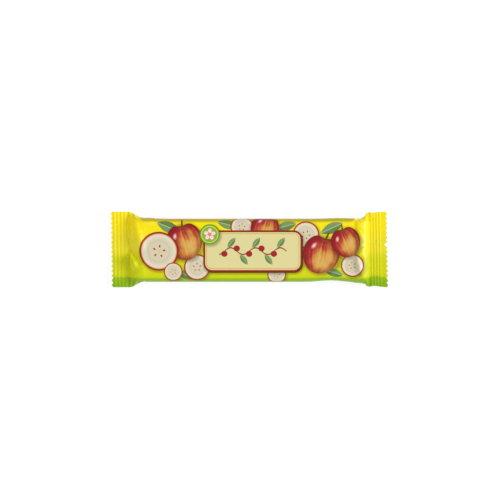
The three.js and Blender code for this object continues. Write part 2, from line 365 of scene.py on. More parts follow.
# Links of the film grid: rows and columns between the two points, and how stiff the link is. The
# longer ones along one line resist bending.
LINK_KINDS = ((1, 0, 1.0), (0, 1, 1.0), (1, 1, 0.8), (1, -1, 0.8),
              (2, 0, 0.14), (0, 2, 0.1), (4, 0, 0.04), (0, 4, 0.03))
Link = namedtuple("Link", "a b length share_a share_b")


class Bar:
    """The pressed fruit bar inside the film: a box with round edges and a slightly lumpy face."""

    def __init__(self, points):
        half_size = np.array([61.8, 16.4, 4.5]) * MM
        self.centre = np.array([0.6, -0.35, 5.1]) * MM
        self.edge_round = 1.6 * MM
        self.inner = np.broadcast_to(half_size - self.edge_round, points.shape).copy()
        self.inner[:, 2] += self.lumps(points)

    def lumps(self, points):
        """How far the bar's face stands out at each point: a few random waves."""
        draw = np.random.default_rng(SETTLE_SEED)
        count, height, wave_length = 14, 0.16 * MM, 20 * MM
        waves = draw.uniform(-1, 1, (count, 2)) * 2 * np.pi / wave_length
        phases = draw.uniform(0, 2 * np.pi, count)
        return height * np.sin(points[:, :2] @ waves.T + phases).sum(axis=1) / math.sqrt(count)

    def push_out(self, points):
        """Moves points that lie inside the bar to its surface."""
        offset = points - self.centre
        beyond = np.abs(offset) - self.inner
        outside = np.maximum(beyond, 0)
        distance = np.sqrt(np.einsum("ij,ij->i", outside, outside))
        inside = np.flatnonzero(distance < self.edge_round + BAR_CLEARANCE)
        near, away = outside[inside], distance[inside]
        buried = away == 0
        near[buried] = np.eye(3)[np.argmax(beyond[inside][buried], axis=1)]
        away[buried] = 1
        depth = self.edge_round + BAR_CLEARANCE - np.where(buried, beyond[inside].max(axis=1), away)
        points[inside] += near * (depth / away)[:, None] * np.where(offset[inside] < 0, -1, 1)


def film_links(rows, columns, row_gaps, column_gaps, free):
    """Batches of links between grid points, with their length in the flat film.
    No point is in two links of a batch, so a batch is moved at once."""
    i, j = np.meshgrid(np.arange(rows), np.arange(columns), indexing="ij")
    along = np.concatenate([[0], np.cumsum(row_gaps)])
    links = []
    for di, dj, stiffness in LINK_KINDS:
        span = max(di, abs(dj))
        group = (i // span if di else j // span) % 2
        for half in (0, 1):
            chosen = (group == half) & (i + di < rows)
            a = (i * columns + j)[chosen]
            b = ((i + di) * columns + (j + dj) % columns)[chosen]
            run = along[i[chosen] + di] - along[i[chosen]]
            length = np.hypot(run, dj * column_gaps[i[chosen]])
            both = np.maximum(free[a] + free[b], 1)
            links.append(Link(a, b, length, stiffness * free[a] / both, stiffness * free[b] / both))
    return links


def settle_film(film):
    """Lets the film pull itself into folds round the bar.
    Returns the grid's rows and how far each point moved."""
    count = round((LEFT_END.crimp + RIGHT_END.crimp) / SETTLE_ROW_STEP)
    rows = np.linspace(-LEFT_END.crimp, RIGHT_END.crimp, count + 1)
    columns = np.linspace(-film.half_girth, film.half_girth, SETTLE_COLUMNS + 1)[:-1]
    start = film.surface(rows[:, None], columns[None])
    held = np.abs(rows) > at_end(rows, "seal_line") - HELD_BEYOND_SEAL
    free = np.repeat(~held, SETTLE_COLUMNS).astype(float)
    links = flat_film_links(start, rows, columns, free)

    goal = start.reshape(-1, 3)
    draw = np.random.default_rng(SETTLE_SEED)
    points = goal + free[:, None] * draw.normal(0, START_JITTER, goal.shape)
    before = points.copy()
    bar = Bar(goal)
    pull = goal_pull(film, rows, columns).reshape(-1, 1) * free[:, None]
    mirror = mirror_columns(SETTLE_COLUMNS)
    grid_free = free.reshape(start.shape[:2])
    for step in range(SETTLE_STEPS):
        speed = points - before
        before = points.copy()
        points += SPEED_KEPT * speed * free[:, None]
        if step % STEPS_PER_PRESSURE == 0:
            press = AIR_PRESSURE * film_normals(points.reshape(start.shape)).reshape(-1, 3) * free[:, None]
        points += press + pull * (goal - points)
        for link in links:
            pull_together(points, link)
        bar.push_out(points)
        keep_layers_apart(points.reshape(start.shape), mirror, grid_free)
        points[:, 2] = np.maximum(points[:, 2], FLOOR_GAP)
    return rows, points.reshape(start.shape) - start


def flat_film_links(start, rows, columns, free):
    """Links of the flat film. Sealing gathers the film a little, so it is wider next to the seals."""
    gaps = np.linalg.norm(np.diff(start, axis=0), axis=2)
    taut_share, gather, gather_reach = 0.9, 0.025, 5 * MM
    row_gaps = np.quantile(gaps, taut_share, axis=1)
    from_seal = at_end(rows, "seal_line") - np.abs(rows)
    gathered = gather * np.exp(-np.maximum(from_seal, 0) / gather_reach)
    column_gaps = (columns[1] - columns[0]) * (1 + gathered)
    return film_links(len(rows), len(columns), row_gaps, column_gaps, free)


def goal_pull(film, rows, columns):
    """How strongly each point is drawn to the measured form.
    The side folds set the outline, so the pull is strongest there."""
    over_bar, panels, side_folds, fold_reach = 0.02, 0.004, 0.08, 3 * MM
    travel = film.shoulder_travel(rows)[:, None]
    from_fold = np.abs(np.abs(columns) - film.half_girth / 2)[None]
    shoulder = panels + side_folds * np.exp(-((from_fold / fold_reach) ** 2))
    return np.where(travel > 0, shoulder, over_bar)


def pull_together(points, link):
    """Moves the two points of each link towards their distance in the flat film."""
    run = points[link.b] - points[link.a]
    excess = 1 - link.length / np.sqrt(np.einsum("ij,ij->i", run, run))
    points[link.a] += run * (excess * link.share_a)[:, None]
    points[link.b] -= run * (excess * link.share_b)[:, None]


def film_normals(grid):
    """Unit normals of the settling film, pointing outwards."""
    along = np.gradient(grid, axis=0)
    around = np.roll(grid, -1, axis=1) - np.roll(grid, 1, axis=1)
    normal = np.cross(along, around)
    return normal / np.linalg.norm(normal, axis=2, keepdims=True)


def mirror_columns(count):
    """For each column of the front, the column of the back that lies under it in a flat tube."""
    quarter, half = count // 4, count // 2
    front = np.arange(quarter + 1, 3 * quarter)
    back = np.where(front <= half, half - front, 3 * half - front) % count
    return front, back


def keep_layers_apart(grid, mirror, free):
    """Stops the front film from sinking through the back film near the seals."""
    front, back = mirror
    overlap = np.maximum(0, LAYER_GAP - (grid[:, front, 2] - grid[:, back, 2]))
    grid[:, front, 2] += overlap / 2 * free[:, front]
    grid[:, back, 2] -= overlap / 2 * free[:, back]


def spline_weights(places, count, wraps):
    """Weights of a cubic B-spline's control values, numbered 0 to count - 1, at each place."""
    base = np.floor(places).astype(int)
    t = places - base
    parts = ((1 - t) ** 3, 3 * t ** 3 - 6 * t ** 2 + 4, -3 * t ** 3 + 3 * t ** 2 + 3 * t + 1, t ** 3)
    weights = np.zeros((len(places), count))
    for offset, part in enumerate(parts):
        index = base + offset - 1
        index = index % count if wraps else np.clip(index, 0, count - 1)
        np.add.at(weights, (np.arange(len(places)), index), part / 6)
    return weights


def lay_over(rows, moves, film, fine_rows, fine_columns):
    """The settled film's moves at the places of the fine grid."""
    step = rows[1] - rows[0]
    along = spline_weights((fine_rows - rows[0]) / step, len(rows), wraps=False)
    column_step = 2 * film.half_girth / SETTLE_COLUMNS
    around = spline_weights((fine_columns + film.half_girth) / column_step, SETTLE_COLUMNS, wraps=True)
    return np.einsum("rjk,cj->rck", np.einsum("ri,ijk->rjk", along, moves), around)


def film_rows(film):
    """Places of the film's cross rows: coarse over the bar, finer in the shoulders and the seals."""
    middle, crease_start, seal_start = 0.0, 50 * MM, 67 * MM
    stretches = ((middle, crease_start, 0.9 * MM), (crease_start, seal_start, 0.35 * MM),
                 (seal_start, film.half_length, 0.2 * MM))
    half = []
    for start, end, step in stretches:
        half.append(np.linspace(start, end, round((end - start) / step), endpoint=False))
    outward = np.append(np.concatenate(half), film.half_length)
    return np.concatenate([-outward[:0:-1], outward])


# Degrees between two faces from which their edge is drawn sharp
SHARP_ANGLE = 55


def build_tube(name, points, print_places, front, back):
    """Closed tube over rings of points. front and back pair up the points that each end face joins."""
    rows, around = points.shape[:2]
    i, j = np.meshgrid(np.arange(rows - 1), np.arange(around), indexing="ij")
    following = (j + 1) % around
    sides = np.stack([i * around + j, (i + 1) * around + j, (i + 1) * around + following,
                      i * around + following], axis=-1).reshape(-1, 4)
    side_uv = np.stack([print_places[i, j], print_places[i + 1, j], print_places[i + 1, j + 1],
                        print_places[i, j + 1]], axis=2).reshape(-1, 2)
    faces = sides.tolist()
    corners = [side_uv]
    for row, turn in ((0, 1), (rows - 1, -1)):
        for k in range(len(front) - 1):
            ring = [front[k], front[k + 1], back[k + 1], back[k]]
            ring = list(dict.fromkeys(ring))[::turn]
            faces.append([row * around + point for point in ring])
            corners.append(print_places[row, ring])
    mesh = bpy.data.meshes.new(name)
    mesh.from_pydata(points.reshape(-1, 3).tolist(), [], faces)
    places = mesh.uv_layers.new(name=PRINT_MAP)
    places.data.foreach_set("uv", (np.concatenate(corners) / MM).astype(np.float32).ravel())
    add_bake_map(mesh, rows, around, len(front) - 1)
    mesh.shade_smooth()
    mesh.set_sharp_from_angle(angle=math.radians(SHARP_ANGLE))
    piece = bpy.data.objects.new(name, mesh)
    bpy.context.scene.collection.objects.link(piece)
    return piece


def add_bake_map(mesh, rows, around, cap_faces):
    """UV map from 0 to 1 with no overlaps: the tube in the middle, the end faces in narrow strips."""
    strip = 0.01
    along = blend_between(2 * strip, 1 - 2 * strip, np.arange(rows) / (rows - 1))
    across = blend_between(strip, 1 - strip, np.arange(around + 1) / around)
    grid = np.stack(np.meshgrid(along, across, indexing="ij"), axis=-1)
    sides = np.stack([grid[:-1, :-1], grid[1:, :-1], grid[1:, 1:], grid[:-1, 1:]], axis=2).reshape(-1, 2)
    places = mesh.uv_layers.new(name="OFBake")
    caps = []
    first = len(sides) // 4
    for k, face in enumerate(list(mesh.polygons)[first:]):
        right, place = divmod(k, cap_faces)
        low = 1 - strip if right else 0
        box = [(low, place), (low, place + 1), (low + strip, place + 1), (low + strip, place)]
        caps += [(u, blend_between(strip, 1 - strip, p / cap_faces)) for u, p in box[:face.loop_total]]
    places.data.foreach_set("uv", np.concatenate([sides, caps]).astype(np.float32).ravel())


def add_node(tree, kind, inputs=None, **settings):
    """Adds one node, applies its settings, and sets or links its inputs by name or by number."""
    node = tree.nodes.new(kind)
    for name, value in settings.items():
        setattr(node, name, value)
    for key, value in (inputs or {}).items():
        named = [s for s in node.inputs if s.enabled and s.name == key]
        socket = named[0] if named else node.inputs[key]
        if isinstance(value, bpy.types.Node):
            value = next(s for s in value.outputs if s.enabled)
        if isinstance(value, bpy.types.NodeSocket):
            tree.links.new(value, socket)
        else:
            socket.default_value = value
    return node


def calculate(tree, operation, *values):
    """A sum, product or other result of numbers."""
    return add_node(tree, "ShaderNodeMath", dict(enumerate(values)), operation=operation)


def calculate_place(tree, operation, *values):
    """The same for places: each part on its own, or their length or dot product."""
    return add_node(tree, "ShaderNodeVectorMath", dict(enumerate(values)), operation=operation)


def rescale(tree, value, span, onto, smooth=False):
    """Maps a value from the range span onto another, evenly or in an S-shape, and holds it at the ends."""
    inputs = {"Value": value, "From Min": span[0], "From Max": span[1], "To Min": onto[0], "To Max": onto[1]}
    kind = "SMOOTHSTEP" if smooth else "LINEAR"
    return add_node(tree, "ShaderNodeMapRange", inputs, interpolation_type=kind)


def paint(tree, below, colour, mask):
    """Paints a colour over the one below, as far as the mask says."""
    return add_node(tree, "ShaderNodeMix", {"Factor": mask, "A": below, "B": colour}, data_type="RGBA")


def start_motif(name):
    """Node group that draws one motif round (0, 0), one unit in half width, as a colour and a mask."""
    tree = bpy.data.node_groups.new(name, "ShaderNodeTree")
    tree.interface.new_socket("Place", in_out="INPUT", socket_type="NodeSocketVector")
    tree.interface.new_socket("Colour", in_out="OUTPUT", socket_type="NodeSocketColor")
    tree.interface.new_socket("Mask", in_out="OUTPUT", socket_type="NodeSocketFloat")
    return tree, add_node(tree, "NodeGroupInput").outputs["Place"]


def local_place(tree, place, centre, size, turn=0):
    """A place as seen from centre, in axes turned by turn degrees, with size (x, y) as the unit."""
    cosine, sine = math.cos(math.radians(turn)), math.sin(math.radians(turn))
    parts = []
    for axis, unit in (((cosine, sine), size[0]), ((-sine, cosine), size[1])):
        scaled = (axis[0] / unit, axis[1] / unit)
        shift = centre[0] * scaled[0] + centre[1] * scaled[1]
        along = calculate_place(tree, "DOT_PRODUCT", place, (*scaled, 0))
        parts.append(calculate(tree, "SUBTRACT", along, shift))
    return add_node(tree, "ShaderNodeCombineXYZ", {"X": parts[0], "Y": parts[1]})


def x_and_y(tree, place):
    """The two parts of a place. Dot products keep its type, so the shader needs to hold fewer values."""
    axes = ((1, 0, 0), (0, 1, 0))
    return [calculate_place(tree, "DOT_PRODUCT", place, axis).outputs["Value"] for axis in axes]


def ellipse(tree, place, centre, radii, turn=0):
    """Distance from an ellipse's middle: below 1 inside it. turn is in degrees."""
    local = local_place(tree, place, centre, radii, turn)
    return calculate_place(tree, "LENGTH", local)


def fill_ellipse(tree, below, colour, place, centre, radii, turn=0, soft=0.04):
    """Paints an ellipse over the colour below. soft is the width of its edge, as a share of its radius."""
    distance = ellipse(tree, place, centre, radii, turn)
    mask = rescale(tree, distance, (1 - soft, 1), (1, 0), smooth=True)
    return paint(tree, below, colour, mask)


def set_ramp(ramp, stops, low=0.0, high=1.0):
    """Gives a colour ramp its stops, each a place between low and high and a colour."""
    elements = ramp.color_ramp.elements
    while len(elements) < len(stops):
        elements.new(1)
    for element, (place, colour) in zip(elements, stops):
        element.position = (place - low) / (high - low)
        element.color = colour


def fold_fives(tree, place):
    """Folds the plane about (0, 0) into one of five alike sectors, whose middle lies along +X."""
    x, y = x_and_y(tree, place)
    angle = calculate(tree, "ARCTAN2", y, x)
    folded = calculate(tree, "PINGPONG", angle, math.pi / 5)
    radius = calculate_place(tree, "LENGTH", place)
    cosine = calculate(tree, "COSINE", folded)
    sine = calculate(tree, "SINE", folded)
    along = calculate(tree, "MULTIPLY", radius, cosine)
    across = calculate(tree, "MULTIPLY", radius, sine)
    return add_node(tree, "ShaderNodeCombineXYZ", {"X": along, "Y": across})


def apple_ring_motif(inks):
    """A slice cut across an apple, with its five seed pockets as a star."""
    tree, place = start_motif("apple_ring")
    radius = calculate_place(tree, "LENGTH", place)
    slice_colour = add_node(tree, "ShaderNodeValToRGB", {"Fac": radius})
    pale, core_green = linear("d8d0bc"), linear("c0bd88")
    set_ramp(slice_colour, [(0, core_green), (0.1, inks.flesh), (0.5, inks.flesh), (0.55, core_green),
                            (0.6, inks.flesh), (0.84, pale), (0.9, inks.skin_gold), (0.93, inks.skin_red),
                            (1, linear("80121c"))])
    sector = fold_fives(tree, place)
    pocket = fill_ellipse(tree, slice_colour, linear("c9a060"), sector, (0.25, 0), (0.17, 0.075), soft=0.3)
    hollow = fill_ellipse(tree, pocket, linear("efe0b0"), sector, (0.25, 0), (0.14, 0.055), soft=0.3)
    seed = fill_ellipse(tree, hollow, linear("4a2412"), sector, (0.26, 0), (0.085, 0.04), soft=0.2)
    mask = calculate(tree, "LESS_THAN", radius, 1.0)
    add_node(tree, "NodeGroupOutput", {"Colour": seed, "Mask": mask})
    return tree


# An apple's stalk: its middle and half size as shares of the apple's radius, and its turn in degrees
STALK_PLACE = (0.05, 0.95)
STALK_SIZE = (0.045, 0.25)
STALK_TURN = -12


def whole_apple_motif(inks):
    """A whole apple seen from the side, gold on its sunny side and streaked with red."""
    tree, place = start_motif("whole_apple")
    x, y = x_and_y(tree, place)
    # The dimple: the skin's top edge sinks near the stalk
    near_stalk = ellipse(tree, place, (0, 0.9), (0.55, 0.9))
    sink = rescale(tree, near_stalk, (0, 1), (0.16, 0), smooth=True)
    raised = calculate(tree, "ADD", y, sink)
    # Apples narrow towards the bottom
    taper = rescale(tree, y, (-1, 1), (1.16, 1.0))
    widened = calculate(tree, "MULTIPLY", x, taper)
    body = add_node(tree, "ShaderNodeCombineXYZ", {"X": widened, "Y": raised})
    radius = calculate_place(tree, "LENGTH", body)
    redness = apple_redness(tree, place, widened, raised)
    skin = add_node(tree, "ShaderNodeValToRGB", {"Fac": redness})
    set_ramp(skin, [(0.18, linear("d0a558")), (0.36, inks.skin_gold), (0.5, linear("b45430")),
                    (0.66, inks.skin_red), (1, linear("86121e"))])
    rim = rescale(tree, radius, (0.6, 1.0), (0, 0.6), smooth=True)
    shaded = paint(tree, skin, linear("701010"), rim)
    dimple = fill_ellipse(tree, shaded, linear("6e4a1c"), place, (0.02, 0.74), (0.34, 0.1), soft=0.9)
    glint = fill_ellipse(tree, dimple, linear("eec0b8"), place, (-0.46, 0.34), (0.13, 0.24), -24, soft=0.95)
    stalk = fill_ellipse(tree, glint, linear("4a3a14"), place, STALK_PLACE, STALK_SIZE, STALK_TURN, soft=0.2)
    inside = calculate(tree, "LESS_THAN", radius, 1.0)
    on_stalk = calculate(tree, "LESS_THAN", ellipse(tree, place, STALK_PLACE, STALK_SIZE, STALK_TURN), 1.0)
    mask = calculate(tree, "MAXIMUM", inside, on_stalk)
    add_node(tree, "NodeGroupOutput", {"Colour": stalk, "Mask": mask})
    return tree


# Length of the blotches on an apple's skin
SKIN_BLOTCH_MM = 5.0


def apple_redness(tree, place, x, y):
    """How red an apple's skin is, from 0 to 1. Streaks run from stalk to base, closer at the sides."""
    square = calculate(tree, "MULTIPLY", y, y)
    chord = rescale(tree, square, (0, 1), (1.0, 0.35))
    longitude = calculate(tree, "DIVIDE", x, chord)
    slanted = calculate(tree, "MULTIPLY_ADD", y, 0.12, longitude)
    streaks = add_node(tree, "ShaderNodeTexNoise", {"W": slanted, "Scale": 6.5, "Detail": 3},
                       noise_dimensions="1D")
    film = add_node(tree, "ShaderNodeUVMap", uv_map=PRINT_MAP)
    blotches = add_node(tree, "ShaderNodeTexNoise", {
        "Vector": film, "Scale": 1 / SKIN_BLOTCH_MM, "Detail": 3})
    sunny = ellipse(tree, place, (0.22, -0.32), (0.95, 1.15))
    mottled = calculate(tree, "MULTIPLY_ADD", blotches, 0.5, -0.5)
    streaked = calculate(tree, "MULTIPLY_ADD", streaks, 0.7, mottled)
    return calculate(tree, "MULTIPLY_ADD", sunny, 0.62, streaked)


def leaf_motif(inks):
    """A pointed leaf along X with a pale midrib and slanting veins."""
    tree, place = start_motif("leaf")
    x, y = x_and_y(tree, place)
    square = calculate(tree, "MULTIPLY", x, x)
    half_width = rescale(tree, square, (0, 1), (0.42, 0.0))
    side = calculate(tree, "ABSOLUTE", y)
    mask = calculate(tree, "LESS_THAN", side, half_width)
    slanted = calculate(tree, "MULTIPLY_ADD", side, -0.8, x)
    veins = calculate(tree, "PINGPONG", slanted, 0.09)
    vein_mask = rescale(tree, veins, (0.005, 0.03), (0.5, 0))
    lower = calculate(tree, "LESS_THAN", y, 0.0)
    halves = paint(tree, inks.leaf, linear("557238"), lower)
    veined = paint(tree, halves, linear("9ab57a"), vein_mask)
    midrib = calculate(tree, "LESS_THAN", side, 0.022)
    ribbed = paint(tree, veined, linear("b4c896"), midrib)
    add_node(tree, "NodeGroupOutput", {"Colour": ribbed, "Mask": mask})
    return tree


def blossom_motif(inks):
    """A five-petalled apple blossom."""
    tree, place = start_motif("blossom")
    sector = fold_fives(tree, place)
    petal = ellipse(tree, sector, (0.58, 0), (0.42, 0.36))
    centre = ellipse(tree, place, (0, 0), (0.3, 0.3))
    nearest = calculate(tree, "MINIMUM", petal, centre)
    mask = calculate(tree, "LESS_THAN", nearest, 1.0)
    petals = add_node(tree, "ShaderNodeValToRGB", {"Fac": petal})
    set_ramp(petals, [(0, inks.flesh), (0.6, linear("f4ddd2")), (0.85, linear("e2a0a0")),
                      (1, linear("b0484c"))])
    heart = fill_ellipse(tree, petals, inks.skin_gold, place, (0, 0), (0.2, 0.2), soft=0.2)
    dots = fill_ellipse(tree, heart, inks.line_brown, sector, (0.26, 0.1), (0.035, 0.035), soft=0.2)
    add_node(tree, "NodeGroupOutput", {"Colour": dots, "Mask": mask})
    return tree


def stamp(tree, below, film, motif, centre, size, turn=0):
    """Prints a motif at a place of the flat film. centre and size are in millimetres, turn in degrees."""
    local = local_place(tree, film, centre, (size, size), turn)
    drawn = add_node(tree, "ShaderNodeGroup", node_tree=motif)
    tree.links.new(local.outputs["Vector"], drawn.inputs["Place"])
    return paint(tree, below, drawn.outputs["Colour"], drawn.outputs["Mask"])


def panel_distance(tree, film, centre, half_size, corner):
    """Distance in millimetres from the edge of a panel with round corners: negative inside."""
    moved = calculate_place(tree, "SUBTRACT", film, (*centre, 0))
    folded = calculate_place(tree, "ABSOLUTE", moved)
    inner = (half_size[0] - corner, half_size[1] - corner, 1000.0)
    beyond = calculate_place(tree, "SUBTRACT", folded, inner)
    outside = calculate_place(tree, "MAXIMUM", beyond, (0, 0, 0))
    length = calculate_place(tree, "LENGTH", outside)
    return calculate(tree, "SUBTRACT", length, corner)


def fill_panel(tree, below, colour, distance, inset):
    """Paints what lies more than inset millimetres inside a panel's edge."""
    mask = calculate(tree, "LESS_THAN", distance, -inset)
    return paint(tree, below, colour, mask)


# Printed soft shadows, and the painted shade of the far side wall: how far they reach inside and outside a
# shape's edge and how far down and to the right they are shifted, in millimetres of film, and how strong
# they are
SHADOW_INSIDE = 0.6
SHADOW_OUTSIDE = 1.6
SHADOW_SHIFT = (0.5, -0.7)
SHADOW_STRENGTH = 0.5


def cast_shadow(tree, below, distance, strength=SHADOW_STRENGTH):
    """Darkens the print in and round a shape. distance is in millimetres from the shape's edge."""
    mask = rescale(tree, distance, (-SHADOW_INSIDE, SHADOW_OUTSIDE), (strength, 0), smooth=True)
    return paint(tree, below, linear("4c3c08"), mask)


def shade_under(tree, below, film, centre, radius):
    """Soft shadow that a round motif seems to cast on the ground print, down and to the right."""
    middle = (centre[0] + SHADOW_SHIFT[0], centre[1] + SHADOW_SHIFT[1], 0)
    moved = calculate_place(tree, "SUBTRACT", film, middle)
    reach = calculate_place(tree, "LENGTH", moved)
    distance = calculate(tree, "SUBTRACT", reach, radius)
    return cast_shadow(tree, below, distance)


# Half the film's girth, and the edges of the green band, in millimetres from the middle of the front
GIRTH_HALF_MM = 43.2
BAND_TOP = -15.8
BAND_BOTTOM = -27.5


def ground_print(tree, film, inks):
    """Yellow that turns to lime towards the green band, which runs round the near edge of the pack."""
    _, y = x_and_y(tree, film)
    share = rescale(tree, y, (-GIRTH_HALF_MM, GIRTH_HALF_MM), (0, 1))
    ground = add_node(tree, "ShaderNodeValToRGB", {"Fac": share})
    middle, lime_at_band, sharp_edge = linear("e0d320"), linear("b8c604"), 0.1
    stops = [
        (-GIRTH_HALF_MM, middle),
        (BAND_BOTTOM - sharp_edge, middle),
        (BAND_BOTTOM, inks.band_light),
        (-20.5, inks.band_deep),
        (BAND_TOP - sharp_edge, inks.band_light),
        (BAND_TOP, lime_at_band),
        (-14, inks.ground_lime),
        (-5, inks.ground_lime),
        (0, middle),
        (5, middle),
        (12, inks.ground_warm),
        (30, inks.ground_warm),
        (GIRTH_HALF_MM, middle),
    ]
    set_ramp(ground, stops, -GIRTH_HALF_MM, GIRTH_HALF_MM)
    return ground


# The vine on the bare panel, in millimetres: its middle, half its length, the length of a wave, and half
# its height and width
VINE_CENTRE = (2.0, -0.5)
VINE_REACH = 19.0
VINE_PITCH = 14.0
VINE_HEIGHT = 1.9
VINE_HALF_WIDTH = 0.36
# At each crest and trough of the vine, a leaf on the outer side and a berry on the inner one
VINE_BENDS = 5
VINE_LEAF_OFFSET = (1.9, 3.3)
VINE_LEAF_SIZE = 3.6
VINE_LEAF_TURN = 52
BERRY_OFFSET = (2.1, 3.0)
BERRY_RADII = (1.6, 1.5)
BERRY_OUTLINE = 0.3


def vine_print(tree, below, film, inks, leaf):
    """A waving stalk with leaves and berries along the bare panel."""
    middle_x, middle_y = VINE_CENTRE
    along, across = x_and_y(tree, film)
    phase = calculate(tree, "MULTIPLY", along, 2 * math.pi / VINE_PITCH)
    sine = calculate(tree, "SINE", phase)
    height = calculate(tree, "MULTIPLY_ADD", sine, VINE_HEIGHT, middle_y)
    on_stalk = calculate(tree, "COMPARE", across, height, VINE_HALF_WIDTH)
    reach = calculate(tree, "COMPARE", along, middle_x, VINE_REACH)
    mask = calculate(tree, "MULTIPLY", on_stalk, reach)
    colour = paint(tree, below, inks.line_brown, mask)
    rim_radii = [radius + BERRY_OUTLINE for radius in BERRY_RADII]
    for k in range(VINE_BENDS):
        x = middle_x + (k - VINE_BENDS // 2) * VINE_PITCH / 2
        up = 1 if k % 2 == 0 else -1
        y = middle_y + VINE_HEIGHT * math.sin(2 * math.pi * x / VINE_PITCH)
        leaf_place = (x + VINE_LEAF_OFFSET[0], y + up * VINE_LEAF_OFFSET[1])
        colour = stamp(tree, colour, film, leaf, leaf_place, VINE_LEAF_SIZE, up * VINE_LEAF_TURN)
        berry = (x - BERRY_OFFSET[0], y - up * BERRY_OFFSET[1])
        colour = fill_ellipse(tree, colour, inks.line_brown, film, berry, rim_radii, soft=0.1)
        colour = fill_ellipse(tree, colour, inks.skin_red, film, berry, BERRY_RADII, soft=0.3)
    return colour


# Places of the round fruit on the front, in the order they are printed: kind, centre, radius, turn
FRUIT_PRINT = (
    ("ring", (-4.2, 13.2), 6.4, 12),
    ("apple", (8.6, 12.4), 8.6, -24),
    ("ring", (15.5, -13.8), 5.2, 0),
    ("ring", (-29.5, -9.6), 7.4, 20),
    ("apple", (-36.5, 5.0), 10.8, 12),
    ("ring", (-51.0, -0.6), 11.0, 10),
    ("ring", (-43.0, -12.2), 5.2, 40),
    ("ring", (32.0, 8.8), 7.6, -8),
    ("apple", (40.5, -2.4), 11.2, -16),
    ("ring", (58.2, -8.6), 6.4, 30),
    ("apple", (54.6, 4.6), 8.8, 18),
)
# Leaves that lie behind the fruit: centre, half length, turn
LEAF_PRINT = (
    ((-12.2, 14.6), 6.2, 166),
    ((20.6, 13.6), 6.4, 16),
    ((-45.5, 13.0), 7.4, 158),
    ((-36.0, -14.0), 5.4, -24),
    ((46.6, 12.4), 7.0, 24),
    ((47.6, -13.0), 5.8, -18),
)


# Middle, half size and corner radius of the strip of painted shade that darkens the far side wall as if it
# lay in shadow, and of the bare label panel, and where the panel's thick lower edge and its shadow lie
FAR_WALL_PAINTED_SHADE = ((-1.0, 21.8), (60.0, 5.2), 2.0)
LABEL_MIDDLE = (2.0, -0.5)
LABEL_HALF = (28.0, 11.8)
LABEL_CORNER = 5.0
LABEL_EDGE_MIDDLE = (2.35, -0.95)
LABEL_SHADOW_MIDDLE = (2.6, -1.4)
LABEL_SHADOW_STRENGTH = 0.6
MEDALLION_PLACE = (-22.4, 9.0)
MEDALLION_RADIUS = 5.8


def front_print(tree, film, inks):
    """Front artwork: fruit on both sides of a bare cream panel with a vine and a green medallion."""
    motifs = {"ring": apple_ring_motif(inks), "apple": whole_apple_motif(inks)}
    leaf, blossom = leaf_motif(inks), blossom_motif(inks)
    colour = ground_print(tree, film, inks)
    # Painted shade darkens the far side wall towards olive, which shows from the front as an olive edge
    colour = cast_shadow(tree, colour, panel_distance(tree, film, *FAR_WALL_PAINTED_SHADE))
    for centre, size, turn in LEAF_PRINT:
        colour = stamp(tree, colour, film, leaf, centre, size, turn)
    for kind, centre, radius, turn in FRUIT_PRINT:
        colour = shade_under(tree, colour, film, centre, radius)
        colour = stamp(tree, colour, film, motifs[kind], centre, radius, turn)

    shadow = panel_distance(tree, film, LABEL_SHADOW_MIDDLE, LABEL_HALF, LABEL_CORNER)
    colour = cast_shadow(tree, colour, shadow, LABEL_SHADOW_STRENGTH)
    lower_edge = panel_distance(tree, film, LABEL_EDGE_MIDDLE, LABEL_HALF, LABEL_CORNER)
    colour = fill_panel(tree, colour, linear("451c04"), lower_edge, 0)
    label = panel_distance(tree, film, LABEL_MIDDLE, LABEL_HALF, LABEL_CORNER)
    layers = ((inks.line_brown, 0), (inks.panel_cream, 1.1), (inks.skin_gold, 1.8), (inks.panel_cream, 2.1))
    for ink, inset in layers:
        colour = fill_panel(tree, colour, ink, label, inset)
    colour = vine_print(tree, colour, film, inks, leaf)
    return medallion_print(tree, colour, film, blossom, MEDALLION_PLACE, MEDALLION_RADIUS)


def medallion_print(tree, below, film, blossom, centre, radius):
    """A round green medallion with a blossom on it."""
    colour = shade_under(tree, below, film, centre, radius)
    rings = ((0, "55830e"), (0.5, "8ab61c"), (1.0, "d6e2a0"), (1.25, "7fae18"))
    for inset, ink in rings:
        colour = fill_ellipse(tree, colour, linear(ink), film, centre, (radius - inset, radius - inset))
    blossom_inset, blossom_turn = 2.2, 15
    return stamp(tree, colour, film, blossom, centre, radius - blossom_inset, blossom_turn)


# Bare cream panels on the back: centre and half size, and all their corner radius and edge line
BACK_PANELS = (((0, 32.6), (50, 4.6)), ((0, -33.4), (50, 3.4)))
BACK_PANEL_CORNER = 1.5
BACK_PANEL_LINE = 0.5


def back_print(tree, below, film, inks):
    """Two long bare panels, one on each side of the fin."""
    colour = below
    for centre, half_size in BACK_PANELS:
        panel = panel_distance(tree, film, centre, half_size, BACK_PANEL_CORNER)
        colour = fill_panel(tree, colour, inks.line_brown, panel, 0)
        colour = fill_panel(tree, colour, inks.panel_cream, panel, BACK_PANEL_LINE)
    return colour


